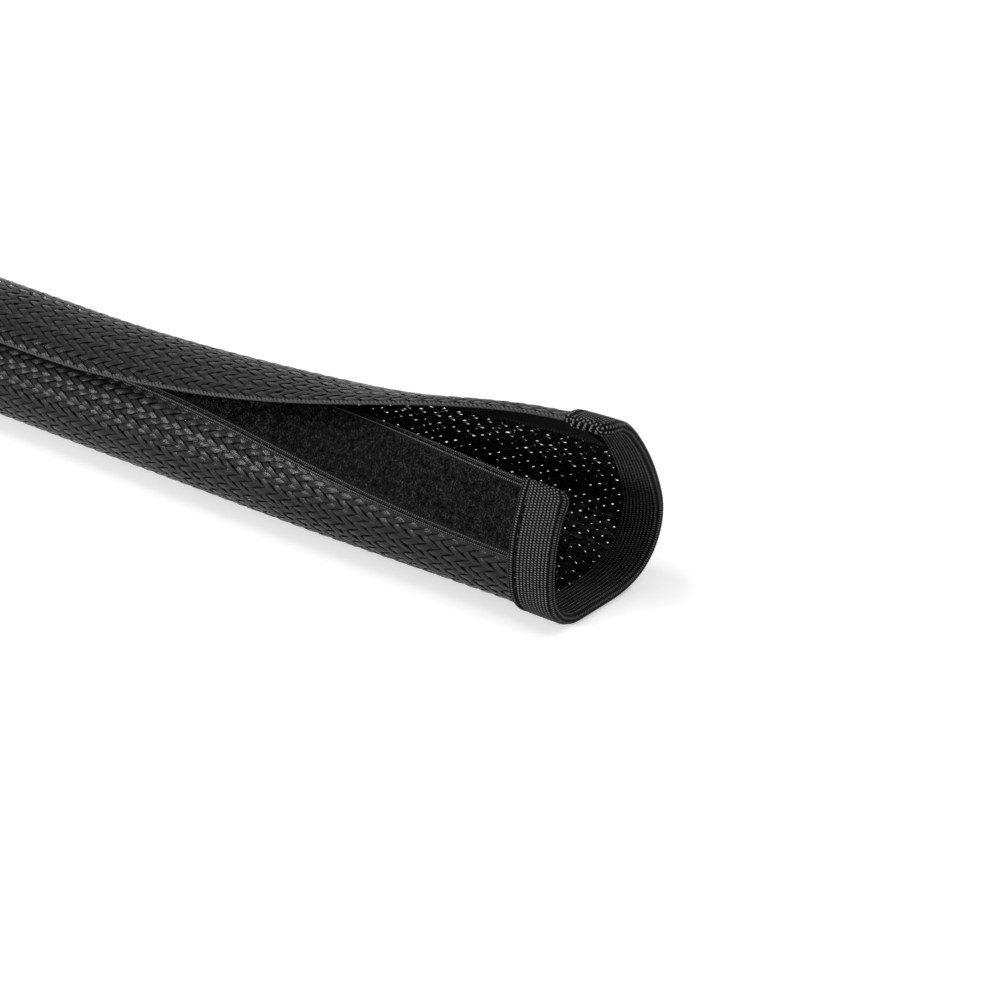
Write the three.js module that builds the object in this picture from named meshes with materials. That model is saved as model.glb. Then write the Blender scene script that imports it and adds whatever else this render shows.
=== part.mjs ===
// A hook and loop braided sleeve for bundling cables, in millimetres, +Z up.
// One flat braided wall is curled into a tube along X. Its near flap (towards -Y) carries a loop strip
// outside, its far flap comes over the top and carries a hook strip inside. The mouth at +X is peeled
// open and the other end is closed. A binding tape is folded over each end, and threads hold it all.
import * as THREE from 'three';

// Driving sizes
const LENGTH = 500;              // overall, binding to binding
const TUBE_RADIUS = 16.4;        // closed tube, to the middle of the outer lap's wall
const WALL = 0.9;                // braided wall
const RIDGE = 0.25;              // how far a crossing of the braid stands out of the wall, and dips between
const BRAID_STEP = 8;            // along the sleeve, from one crossing to the next
const BRAID_RISE = 4.6;          // around the sleeve, from one crossing to the next
const GAP_SHARE = 0.18;          // size of an open gap in the braid, as a share of the step and the rise
const GAP_LEFT = 4;              // open gaps: at every fourth crossing along one family of strands
const GAP_RIGHT = 6;             // and every sixth along the other
const STRIP_WIDTH = 20;          // hook strip and loop strip
const STRIP_THICK = 0.8;         // with its pile or hooks
const SELVEDGE = 2;              // bare woven edge on both sides of a strip
const SELVEDGE_THICK = 0.45;
const HOOK_INSET = 1.5;          // far flap's edge to the hook strip
const BINDING_WIDTH = 13;        // outer leg of the binding tape
const BINDING_INNER = 11;        // inner leg
const BINDING_THICK = 0.8;
const BINDING_OVERHANG = 0.8;    // past the flaps' edges
const GROOVE_FROM_EDGE = 2.2;    // middle of the binding's stitched groove, from the outer leg's edge
const GROOVE_SLOPE = 0.5;        // how far the groove's sides lean out
const THREAD = 0.35;             // sewing thread
const THREAD_GAP = 0.1;          // around it
const SEAM_INSET = 1;            // strips' seams, from the strips' edges
const LAYER_GAP = 0.2;           // between sewn layers
const MATE_GAP = 0.6;            // between the laps' closed strips
const END_GAP = 0.4;             // from a strip's end to the binding
const FLAT = 3;                  // width of the flat that the closed tube rests on
const OPEN_NEAR = 148;           // how far from the mouth the near flap is pulled open
const OPEN_FAR = 175;            // how far from the mouth the far flap is peeled up
const SAG = 70;                  // from a binding to where the wall itself rests
const SOFT = 0.75;               // how softly one arc runs into the next
const TRACE_STEP = 0.5;          // between the points that an arm is traced through

// Arcs of the cross section, as [start, radius] in tube radii, from the floor contact up each arm
const MOUTH_NEAR_RATIOS = [[0, 0.66], [1, 2.45]];
const MOUTH_FAR_RATIOS = [[0.8, 1.8], [1.35, 0.93], [2.8, 3.7], [4.35, 0.64]];
const NEAR_TURN = 2.28;          // radians that the closed near arm turns at its own radius
const EASE_SPAN_RATIO = 0.73;    // where it eases out to run along the far lap, in tube radii
const EASE_BEND_RATIO = 1.34;
const LAP_BEND_RATIO = 0.73;
const UNDER_STRIP_RATIO = 0.275; // the ease that lies before the loop strip, in tube radii
const FAR_TURN = 4.116;          // radians that the closed far arm turns
const ROLL = 0.76;               // wall that rolls from the near arm to the far arm at the mouth

// Derived sizes
const endPad = LAYER_GAP + BINDING_THICK;
const lap = WALL + 2 * (LAYER_GAP + STRIP_THICK) + MATE_GAP;
const nearRadius = TUBE_RADIUS - lap;
const easeStart = FLAT / 2 + nearRadius * NEAR_TURN;
const easeEnd = easeStart + EASE_SPAN_RATIO * TUBE_RADIUS;
const nearArm = easeStart + UNDER_STRIP_RATIO * TUBE_RADIUS + STRIP_WIDTH;
const farArm = FLAT / 2 + TUBE_RADIUS * FAR_TURN;
const width = nearArm + farArm;
const hookStart = width - HOOK_INSET - STRIP_WIDTH;
const stripFrom = BINDING_WIDTH + END_GAP;
const bindingFace = WALL / 2 + endPad;
const grooveMiddle = BINDING_WIDTH - GROOVE_FROM_EDGE;
const grooveDepth = THREAD + 2 * THREAD_GAP;

const inTubeRadii = (arcs) => arcs.map(([start, radius]) => [start * TUBE_RADIUS, radius * TUBE_RADIUS]);
const arcs = {
  nearOpen: inTubeRadii(MOUTH_NEAR_RATIOS),
  farOpen: inTubeRadii(MOUTH_FAR_RATIOS),
  nearClosed: [
    [FLAT / 2, nearRadius],
    [easeStart, EASE_BEND_RATIO * TUBE_RADIUS],
    [easeEnd, LAP_BEND_RATIO * TUBE_RADIUS],
  ],
  farClosed: [[FLAT / 2, TUBE_RADIUS]],
};

const smooth = (x) => {
  const t = Math.min(Math.max(x, 0), 1);
  return t * t * (3 - 2 * t);
};

// Curvature of a run of arcs at a distance from the floor contact
function curvature(run, distance) {
  let value = 0;
  let before = 0;
  for (const [start, radius] of run) {
    value += (1 / radius - before) / (1 + Math.exp((start - distance) / SOFT));
    before = 1 / radius;
  }
  return value;
}

// One arm as points a trace step apart: distance, reach, height and tangent angle
function traceArm(length, closed, open, openShare) {
  const steps = Math.ceil(length / TRACE_STEP);
  const step = length / steps;
  const points = [{ distance: 0, reach: 0, height: 0, angle: 0 }];
  for (let i = 0; i < steps; i += 1) {
    const from = points[i];
    const middle = from.distance + step / 2;
    const bend = (1 - openShare) * curvature(closed, middle) + openShare * curvature(open, middle);
    const angle = from.angle + bend * step;
    const mean = (from.angle + angle) / 2;
    points.push({
      distance: from.distance + step,
      reach: from.reach + Math.cos(mean) * step,
      height: from.height + Math.sin(mean) * step,
      angle,
    });
  }
  return points;
}

// Middle of the wall and its outward normal, across the flat width from the near flap's edge (0)
function sectionAt(fromMouth) {
  const openNear = smooth(1 - fromMouth / OPEN_NEAR);
  const openFar = smooth(1 - fromMouth / OPEN_FAR) ** 1.2;
  const contact = nearArm - ROLL * TUBE_RADIUS * openNear;
  const near = traceArm(contact, arcs.nearClosed, arcs.nearOpen, openNear ** 2);
  const far = traceArm(width - contact, arcs.farClosed, arcs.farOpen, openFar);
  const toEnd = Math.min(fromMouth, LENGTH - fromMouth);
  const rests = WALL / 2 + RIDGE;
  const lift = rests + (bindingFace - rests) * (1 - smooth((toEnd - BINDING_WIDTH) / SAG));
  const line = near.map((p) => ({
    s: contact - p.distance, y: -p.reach, z: p.height + lift, ny: -Math.sin(p.angle), nz: -Math.cos(p.angle),
  })).reverse();
  line.push(...far.slice(1).map((p) => ({
    s: contact + p.distance, y: p.reach, z: p.height + lift, ny: Math.sin(p.angle), nz: -Math.cos(p.angle),
  })));
  return line;
}

// Interpolates a row of {s, y, z, ny, nz}, going on straight past its ends
function along(row, s) {
  let i = 1;
  while (i < row.length - 1 && row[i].s < s) i += 1;
  const a = row[i - 1];
  const b = row[i];
  const t = (s - a.s) / (b.s - a.s);
  const mix = (key) => a[key] + (b[key] - a[key]) * t;
  return { s, y: mix('y'), z: mix('z'), ny: mix('ny'), nz: mix('nz') };
}

// Columns of the wall's grid: the strips' edges and pile, and the braid between them
const spread = (from, to, cells) => Array.from({ length: cells + 1 }, (_, i) => from + ((to - from) * i) / cells);
const stripColumns = (from) => [from, ...spread(from + SELVEDGE, from + STRIP_WIDTH - SELVEDGE, 3), from + STRIP_WIDTH];
const braidCells = Math.round((hookStart - STRIP_WIDTH) / BRAID_RISE);
const columns = [
  ...stripColumns(0),
  ...spread(STRIP_WIDTH, hookStart, braidCells).slice(1, -1),
  ...stripColumns(hookStart),
  width,
];
const firstBraid = stripColumns(0).length;
const lastBraid = firstBraid + braidCells - 2;

// The wall's line across one station, faceted at the columns, so that all that lies on it matches it
const stations = new Map();
function facetRow(fromMouth) {
  if (!stations.has(fromMouth)) {
    const line = sectionAt(fromMouth);
    stations.set(fromMouth, columns.map((s) => along(line, s)));
  }
  return stations.get(fromMouth);
}

// A point at a distance from the mouth, across the width, and off the middle of the wall
function place(fromMouth, s, off) {
  const p = along(facetRow(fromMouth), s);
  return [LENGTH / 2 - fromMouth, p.y + p.ny * off, p.z + p.nz * off];
}

// A closed body from its points and triangles
function solid(name, points, triangles, colour, roughness) {
  const geometry = new THREE.BufferGeometry();
  geometry.setAttribute('position', new THREE.Float32BufferAttribute(points.flat(), 3));
  geometry.setIndex(triangles.flat());
  geometry.computeVertexNormals();
  const material = new THREE.MeshStandardMaterial({ color: colour, roughness, metalness: 0 });
  const mesh = new THREE.Mesh(geometry, material);
  mesh.name = name;
  return mesh;
}

// A profile carried through rings of points, closed by a flat face at both ends
function sweep(rings, profile) {
  const points = rings.flat();
  const count = profile.length;
  const triangles = [];
  for (let r = 0; r < rings.length - 1; r += 1) {
    for (let k = 0; k < count; k += 1) {
      const next = (k + 1) % count;
      const a = r * count + k;
      const b = r * count + next;
      triangles.push([a, b, b + count], [a, b + count, a + count]);
    }
  }
  const last = (rings.length - 1) * count;
  for (const [a, b, c] of THREE.ShapeUtils.triangulateShape(profile.map(([u, v]) => new THREE.Vector2(u, v)), [])) {
    triangles.push([a, c, b], [last + a, last + b, last + c]);
  }
  return { points, triangles };
}

// Turns a swept body's faces outward if its profile ran the other way round
function outward({ points, triangles }) {
  const [a, b, c] = [0, 1, 2].map((k) => new THREE.Vector3());
  let volume = 0;
  for (const triangle of triangles) {
    [a, b, c].forEach((v, k) => v.fromArray(points[triangle[k]]));
    volume += a.dot(b.cross(c));
  }
  return volume > 0 ? triangles : triangles.map(([i, j, k]) => [i, k, j]);
}

// The braided wall: a grid that stands out at every second crossing and dips at the others, on both
// faces alike, with diamond gaps through some of the dips. It is plain under the strips and bindings.
function braidedWall() {
  const from = BINDING_WIDTH;
  const to = LENGTH - BINDING_WIDTH;
  const cells = Math.round((to - from) / BRAID_STEP);
  const rows = [endPad, (endPad + from) / 2, ...spread(from, to, cells), LENGTH - (endPad + from) / 2, LENGTH - endPad];
  const plainRows = 2;
  const isBraid = (i, j) => i >= firstBraid && i <= lastBraid && j > plainRows && j < rows.length - 1 - plainRows;
  const isRaised = (i, j) => (i + j) % 2 === 0;
  const isInside = (i, j) => isBraid(i - 1, j) && isBraid(i + 1, j) && isBraid(i, j - 1) && isBraid(i, j + 1);
  const isGap = (i, j) => isInside(i, j) && (i + j) % GAP_LEFT === 1
    && (i - j + rows.length * GAP_RIGHT) % GAP_RIGHT === 1;
  const points = [];
  const triangles = [];
  const index = new Map();
  const vertex = (i, j, side) => {
    const key = `${i},${j},${side}`;
    if (!index.has(key)) {
      const relief = isBraid(i, j) ? (isRaised(i, j) ? RIDGE : -RIDGE) : 0;
      index.set(key, points.push(place(rows[j], columns[i], relief + (side * WALL) / 2)) - 1);
    }
    return index.get(key);
  };
  const corner = (i, j, di, dj, side) => {
    const key = `${i},${j},${di},${dj},${side}`;
    if (!index.has(key)) {
      const dip = points[vertex(i, j, side)];
      const crest = points[vertex(i + di, j + dj, side)];
      index.set(key, points.push(dip.map((v, k) => v + (crest[k] - v) * GAP_SHARE)) - 1);
    }
    return index.get(key);
  };
  const face = (side, a, b, c) => triangles.push(side > 0 ? [a, b, c] : [a, c, b]);
  // The half of a cell at vertex (i, j), between its neighbours across (di) and along (dj)
  const half = (side, i, j, di, dj) => {
    const a = vertex(i + di, j, side);
    const b = vertex(i, j + dj, side);
    const flip = di * dj > 0 ? side : -side;
    if (!isGap(i, j)) {
      face(flip, vertex(i, j, side), a, b);
      return;
    }
    const gapA = corner(i, j, di, 0, side);
    const gapB = corner(i, j, 0, dj, side);
    face(flip, gapA, a, b);
    face(flip, gapA, b, gapB);
    if (side > 0) {
      const backA = corner(i, j, di, 0, -1);
      const backB = corner(i, j, 0, dj, -1);
      face(-flip, gapA, backA, backB);
      face(-flip, gapA, backB, gapB);
    }
  };
  for (let i = 0; i < columns.length - 1; i += 1) {
    for (let j = 0; j < rows.length - 1; j += 1) {
      for (const side of [1, -1]) {
        if (isRaised(i, j)) {
          half(side, i + 1, j, -1, 1);
          half(side, i, j + 1, 1, -1);
        } else {
          half(side, i, j, 1, 1);
          half(side, i + 1, j + 1, -1, -1);
        }
      }
    }
  }
  const rim = (i, j, iNext, jNext) => {
    const a = vertex(i, j, 1);
    const b = vertex(iNext, jNext, 1);
    const c = vertex(iNext, jNext, -1);
    const d = vertex(i, j, -1);
    triangles.push([a, c, b], [a, d, c]);
  };
  for (let i = 0; i < columns.length - 1; i += 1) {
    rim(i, 0, i + 1, 0);
    rim(i + 1, rows.length - 1, i, rows.length - 1);
  }
  for (let j = 0; j < rows.length - 1; j += 1) {
    rim(0, j + 1, 0, j);
    rim(columns.length - 1, j, columns.length - 1, j + 1);
  }
  return solid('braided_wall', points, outward({ points, triangles }), 0x17181a, 0.42);
}

// Stations of what runs the length of the sleeve: close together where the mouth opens
function runStations(from, to) {
  const opening = Math.max(OPEN_NEAR, OPEN_FAR);
  const middle = Math.min(Math.max(opening, from + BRAID_STEP), to - BRAID_STEP);
  const close = spread(from, middle, Math.max(Math.round((middle - from) / (2 * BRAID_STEP)), 1));
  const wide = spread(middle, to, Math.max(Math.round((to - middle) / (8 * BRAID_STEP)), 1));
  return [...close, ...wide.slice(1)];
}

// A woven strip with a thin selvedge on both sides of its pile, on the outer (1) or inner (-1) face
function strip(name, from, side, colour) {
  const base = WALL / 2 + LAYER_GAP;
  const lip = base + SELVEDGE_THICK;
  const top = base + STRIP_THICK;
  const columnsHere = stripColumns(from);
  const to = from + STRIP_WIDTH;
  const shoulder = STRIP_THICK - SELVEDGE_THICK;
  const profile = [
    ...columnsHere.map((s) => [s, base]),
    [to, lip],
    [to - SELVEDGE, lip],
    [to - SELVEDGE - shoulder, top],
    ...columnsHere.slice(2, -2).reverse().map((s) => [s, top]),
    [from + SELVEDGE + shoulder, top],
    [from + SELVEDGE, lip],
    [from, lip],
  ];
  const rings = runStations(stripFrom, LENGTH - stripFrom)
    .map((u) => profile.map(([s, off]) => place(u, s, side * off)));
  const body = sweep(rings, profile);
  return solid(name, body.points, outward(body), colour, 0.95);
}

// A binding tape folded over an end: mouth end (atMouth true) or closed end
function binding(name, atMouth) {
  const inner = WALL / 2 + LAYER_GAP;
  const outer = inner + BINDING_THICK;
  const corner = BINDING_THICK * 0.4;
  const floor = THREAD / 2 + THREAD_GAP;
  const profile = [
    [BINDING_WIDTH, inner],
    [BINDING_WIDTH, outer - corner],
    [BINDING_WIDTH - corner, outer],
    [grooveMiddle + floor + GROOVE_SLOPE, outer],
    [grooveMiddle + floor, outer - grooveDepth],
    [grooveMiddle - floor, outer - grooveDepth],
    [grooveMiddle - floor - GROOVE_SLOPE, outer],
    [endPad, outer],
    [corner / 2, outer - endPad / 2],
    [0, 0],
    [corner / 2, endPad / 2 - outer],
    [endPad, -outer],
    [BINDING_INNER, -outer],
    [BINDING_INNER, -inner],
    [BINDING_THICK, -inner],
    [BINDING_THICK, inner],
  ];
  const across = [-BINDING_OVERHANG, ...columns, width + BINDING_OVERHANG];
  const rings = across.map((s) => profile.map(([u, off]) => place(atMouth ? u : LENGTH - u, s, off)));
  const body = sweep(rings, profile);
  return solid(name, body.points, outward(body), 0x1b1c1f, 0.85);
}

// A square thread through a list of {u, s, off}, lying in the surface
function thread(name, route, acrossKey) {
  const half = THREAD / 2;
  const profile = [[-half, -half], [half, -half], [half, half], [-half, half]];
  const rings = route.map((p) => profile.map(([side, up]) => {
    const q = { ...p, off: p.off + up };
    q[acrossKey] += side;
    return place(q.u, q.s, q.off);
  }));
  const body = sweep(rings, profile);
  return solid(name, body.points, outward(body), 0x222327, 0.7);
}

// The two seams of a strip, one on each selvedge
function stripSeams(label, from, side) {
  const off = side * (WALL / 2 + LAYER_GAP + SELVEDGE_THICK + THREAD_GAP + THREAD / 2);
  const seam = (which, s) => {
    const route = runStations(stripFrom, LENGTH - stripFrom).map((u) => ({ u, s, off }));
    return thread(`${label}_${which}_seam_thread`, route, 's');
  };
  return [seam('upper', from + SEAM_INSET), seam('lower', from + STRIP_WIDTH - SEAM_INSET)];
}

// The seam of a binding, lying in its groove
function bindingSeam(label, atMouth) {
  const u = atMouth ? grooveMiddle : LENGTH - grooveMiddle;
  const off = bindingFace - THREAD_GAP - THREAD / 2;
  const route = columns.map((s) => ({ u, s, off }));
  return thread(`${label}_binding_seam_thread`, route, 'u');
}

const sleeve = new THREE.Group();
sleeve.name = 'braided_sleeve';
sleeve.add(
  braidedWall(),
  strip('loop_strip', 0, 1, 0x0d0d0e),
  strip('hook_strip', hookStart, -1, 0x101112),
  binding('mouth_binding', true),
  binding('rear_binding', false),
  ...stripSeams('loop_strip', 0, 1),
  ...stripSeams('hook_strip', hookStart, -1),
  bindingSeam('mouth', true),
  bindingSeam('rear', false),
);

// The origin is the middle of the underside of the whole sleeve
sleeve.updateMatrixWorld(true);
const box = new THREE.Box3().setFromObject(sleeve);
sleeve.position.set(-(box.min.x + box.max.x) / 2, -(box.min.y + box.max.y) / 2, -box.min.z);

export default sleeve;
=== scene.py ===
"""Looks of a hook and loop braided sleeve: one flat braid of black ribbons curled into a tube, with a loop
strip outside one flap, a hook strip inside the other, and a ribbed binding tape folded over both ends.

The cross section is worked out here in millimetres as the model works it out, from the same sizes.
u is the distance from the mouth, s the distance across the flat width from the near flap's edge, and
off the distance out of the middle of the wall, towards the outside of the tube.
"""

import math

import bpy
import numpy as np
from mathutils import Matrix, Vector
from mathutils.geometry import tessellate_polygon


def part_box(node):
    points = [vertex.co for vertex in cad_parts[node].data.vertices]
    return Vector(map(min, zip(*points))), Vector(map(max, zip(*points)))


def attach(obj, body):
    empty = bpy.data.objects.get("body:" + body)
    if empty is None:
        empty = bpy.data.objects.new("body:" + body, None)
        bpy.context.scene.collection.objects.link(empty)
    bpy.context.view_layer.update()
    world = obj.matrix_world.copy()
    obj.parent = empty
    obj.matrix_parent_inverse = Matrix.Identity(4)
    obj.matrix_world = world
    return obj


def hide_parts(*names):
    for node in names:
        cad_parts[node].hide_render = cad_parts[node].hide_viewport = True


MM = 0.001

# Driving sizes, in millimetres
LENGTH = 500.0                   # overall, binding to binding
TUBE_RADIUS = 16.4               # closed tube, to the middle of the outer lap's wall
WALL = 0.9
RIDGE = 0.25                     # how far the braid stands out of the wall
WALL_CELL = 4.6                  # between two rows of points of the solid wall
STRIP_WIDTH = 20.0
STRIP_THICK = 0.8
SELVEDGE = 2.0                   # bare woven edge on both sides of a strip
SELVEDGE_SPLITS = 3              # into which the solid strip's middle is cut
HOOK_INSET = 1.5                 # far flap's edge to the hook strip
STRIP_TUCK = 0.8                 # how far the strips run under the bindings
BINDING_WIDTH = 13.0             # outer leg of the binding tape
BINDING_INNER = 11.0             # inner leg
BINDING_THICK = 0.8
BINDING_OVERHANG = 0.8           # past the flaps' edges
GROOVE_FROM_EDGE = 2.2           # the binding's stitched groove, from the edge of a leg
SEAM_INSET = 1.0                 # strips' seams, from the strips' edges
LAYER_GAP = 0.2                  # between sewn layers
MATE_GAP = 0.6                   # between the laps' closed strips
END_GAP = 0.4                    # from the pile or the hooks to the binding
FLAT = 3.0                       # width of the flat that the closed tube rests on
OPEN_NEAR = 148.0                # how far from the mouth the near flap is pulled open
OPEN_FAR = 175.0                 # how far from the mouth the far flap is peeled up
OPEN_NEAR_POWER = 2              # how slowly the flaps begin to open
OPEN_FAR_POWER = 1.2
SAG = 70.0                       # from a binding to where the wall itself rests
SOFT = 0.75                      # how softly one arc runs into the next

# Arcs of the cross section as (start, radius) in tube radii, from the floor contact up each arm
MOUTH_NEAR_RATIOS = [(0, 0.66), (1, 2.45)]
MOUTH_FAR_RATIOS = [(0.8, 1.8), (1.35, 0.93), (2.8, 3.7), (4.35, 0.64)]
NEAR_TURN = 2.28                 # radians that the closed near arm turns at its own radius
EASE_SPAN_RATIO = 0.73           # where it eases out to run along the far lap
EASE_BEND_RATIO = 1.34
LAP_BEND_RATIO = 0.73
UNDER_STRIP_RATIO = 0.275        # the ease that lies before the loop strip
FAR_TURN = 4.116                 # radians that the closed far arm turns
ROLL = 0.76                      # wall that rolls from the near arm to the far arm at the mouth

# The braid: ribbons of two families that cross in rows along the sleeve
ROWS = 116
REPEAT = 4                       # rows from where a ribbon passes over to where it does so again
LEAN = math.atan(0.5)            # of a ribbon from the sleeve's axis
RIBBON_WIDTH = 1.72
RIBBON_THICK = 0.34
RIBBON_RISE = 0.24               # middle of a ribbon out of the wall's middle where it passes over
RIBBON_ARCH = 0.32               # of a float, as a share of its rise
RIBBON_TILT = 0.06               # how unevenly the ribbons lie, out of the wall
RIBBON_WANDER = 0.04             # and in it
RIBBON_END = 9.5                 # ribbons and cords end this far under the bindings
EDGE_IN = 0.35                   # middle of an edge cord, from the flap's edge
SHORTEST_RIBBON = 1.5
STATIONS = np.array([0, 0.5, 1, 1.5, 2, 3, 3.5])   # places along a ribbon that carry points, in rows

# The weave of the tapes
RIB_PITCH = 1.05                 # of the binding's ribs, across the tape
RIB_HIGH = 0.2
BEAD_PITCH = 0.62                # of the beads along a rib
BEAD_HIGH = 0.07
RIBS_FROM_GROOVE = 0.45

# Derived sizes
END_PAD = LAYER_GAP + BINDING_THICK
LAP = WALL + 2 * (LAYER_GAP + STRIP_THICK) + MATE_GAP
NEAR_RADIUS = TUBE_RADIUS - LAP
EASE_START = FLAT / 2 + NEAR_RADIUS * NEAR_TURN
EASE_END = EASE_START + EASE_SPAN_RATIO * TUBE_RADIUS
NEAR_ARM = EASE_START + UNDER_STRIP_RATIO * TUBE_RADIUS + STRIP_WIDTH
FAR_ARM = FLAT / 2 + TUBE_RADIUS * FAR_TURN
WIDTH = NEAR_ARM + FAR_ARM
HOOK_START = WIDTH - HOOK_INSET - STRIP_WIDTH
STRIP_FROM = BINDING_WIDTH + END_GAP
TAPE_FROM = BINDING_WIDTH - STRIP_TUCK
BINDING_FACE = WALL / 2 + END_PAD
RIB_FROM = GROOVE_FROM_EDGE + RIBS_FROM_GROOVE
ROW = WIDTH / ROWS
RIBBON_STEP = 2 * ROW / math.tan(LEAN)

# Steps of the traced cross section and of the table that it is kept in
TRACE_STEP = 0.25
TRACE_PAST = 3.0                 # traced past the flaps' edges
U_STEP = 2.0
S_STEP = 0.5
S_PAST = 2.0                     # kept past the flaps' edges
GRID_U = np.arange(0, LENGTH + U_STEP / 2, U_STEP)
GRID_S = np.arange(-S_PAST, WIDTH + S_PAST + S_STEP, S_STEP)
INSIDE = 0.001                   # keeps a place inside the table's last cell

rng = np.random.default_rng(7)


# The wall's cross section


def smooth(x):
    t = np.clip(x, 0, 1)
    return t * t * (3 - 2 * t)


def fade(distance, reach):
    """1 at the start, 0 from the reach on."""
    return 1 - smooth(distance / reach)


def curvature(run, distance):
    value, before = 0, 0
    for start, radius in run:
        value = value + (1 / radius - before) / (1 + np.exp((start - distance) / SOFT))
        before = 1 / radius
    return value


def in_radii(run):
    return [(start * TUBE_RADIUS, radius * TUBE_RADIUS) for start, radius in run]


NEAR_OPEN = in_radii(MOUTH_NEAR_RATIOS)
FAR_OPEN = in_radii(MOUTH_FAR_RATIOS)
NEAR_CLOSED = [
    (FLAT / 2, NEAR_RADIUS),
    (EASE_START, EASE_BEND_RATIO * TUBE_RADIUS),
    (EASE_END, LAP_BEND_RATIO * TUBE_RADIUS),
]
FAR_CLOSED = [(FLAT / 2, TUBE_RADIUS)]


def trace_arm(length, closed, opened, open_share):
    """Distance, reach, height and tangent angle along one arm, from the floor contact."""
    distance = np.arange(0, length + TRACE_PAST, TRACE_STEP)
    middle = distance[:-1] + TRACE_STEP / 2
    bend = (1 - open_share) * curvature(closed, middle) + open_share * curvature(opened, middle)
    angle = np.concatenate([[0], np.cumsum(bend * TRACE_STEP)])
    mean = (angle[:-1] + angle[1:]) / 2
    reach = np.concatenate([[0], np.cumsum(np.cos(mean) * TRACE_STEP)])
    height = np.concatenate([[0], np.cumsum(np.sin(mean) * TRACE_STEP)])
    return distance, reach, height, angle


def section(u):
    """Rows of y, z, ny, nz at GRID_S: the middle of the wall and its outward normal."""
    open_near = smooth(1 - u / OPEN_NEAR)
    open_far = smooth(1 - u / OPEN_FAR)
    contact = NEAR_ARM - ROLL * TUBE_RADIUS * open_near
    near = trace_arm(contact, NEAR_CLOSED, NEAR_OPEN, open_near**OPEN_NEAR_POWER)
    far = trace_arm(WIDTH - contact, FAR_CLOSED, FAR_OPEN, open_far**OPEN_FAR_POWER)
    rests = WALL / 2 + RIDGE
    to_end = min(u, LENGTH - u)
    lift = rests + (BINDING_FACE - rests) * fade(to_end - BINDING_WIDTH, SAG)
    s = np.concatenate([(contact - near[0])[::-1], (contact + far[0])[1:]])
    y = np.concatenate([-near[1][::-1], far[1][1:]])
    z = np.concatenate([near[2][::-1], far[2][1:]]) + lift
    ny = np.concatenate([-np.sin(near[3])[::-1], np.sin(far[3])[1:]])
    nz = np.concatenate([-np.cos(near[3])[::-1], -np.cos(far[3])[1:]])
    return np.stack([np.interp(GRID_S, s, v) for v in (y, z, ny, nz)], axis=1)


TABLE = np.stack([section(u) for u in GRID_U])


def in_section(u, s, off):
    """Points in millimetres, with y and z as the cross section is traced."""
    places = (u, s, off)
    u, s, off = np.broadcast_arrays(*[np.asarray(place, float) for place in places])
    grid_u = np.clip(u / U_STEP, 0, len(GRID_U) - 1 - INSIDE)
    grid_s = np.clip((s - GRID_S[0]) / S_STEP, 0, len(GRID_S) - 1 - INSIDE)
    i = grid_u.astype(int)
    j = grid_s.astype(int)
    share_u = (grid_u - i)[..., None]
    share_s = (grid_s - j)[..., None]
    row = (
        TABLE[i, j] * (1 - share_u) * (1 - share_s)
        + TABLE[i + 1, j] * share_u * (1 - share_s)
        + TABLE[i, j + 1] * (1 - share_u) * share_s
        + TABLE[i + 1, j + 1] * share_u * share_s
    )
    y = row[..., 0] + row[..., 2] * off
    z = row[..., 1] + row[..., 3] * off
    return np.stack([LENGTH / 2 - u, y, z], axis=-1)


# The frame: the solid mouth binding's box says where the cross section stands in it

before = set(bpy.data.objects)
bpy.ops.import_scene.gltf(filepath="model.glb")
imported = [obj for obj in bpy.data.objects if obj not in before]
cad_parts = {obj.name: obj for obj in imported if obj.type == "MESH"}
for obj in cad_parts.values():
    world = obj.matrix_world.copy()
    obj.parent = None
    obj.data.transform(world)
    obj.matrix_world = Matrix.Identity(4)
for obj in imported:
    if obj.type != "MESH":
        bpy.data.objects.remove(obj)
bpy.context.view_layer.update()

strip_columns = [0, *np.linspace(SELVEDGE, STRIP_WIDTH - SELVEDGE, SELVEDGE_SPLITS + 1), STRIP_WIDTH]
braid_cells = round((HOOK_START - STRIP_WIDTH) / WALL_CELL)
columns = np.array(
    [
        *strip_columns,
        *np.linspace(STRIP_WIDTH, HOOK_START, braid_cells + 1)[1:-1],
        *[HOOK_START + column for column in strip_columns],
        WIDTH,
    ]
)
face = in_section(END_PAD, columns, BINDING_FACE) * MM
low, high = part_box("mouth_binding")
SHIFT = np.array([0, high.y - face[:, 1].max(), low.z - face[:, 2].min()])


def on_wall(u, s, off):
    """Points in the frame, in metres."""
    return in_section(u, s, off) * MM + SHIFT


# Meshes


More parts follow.
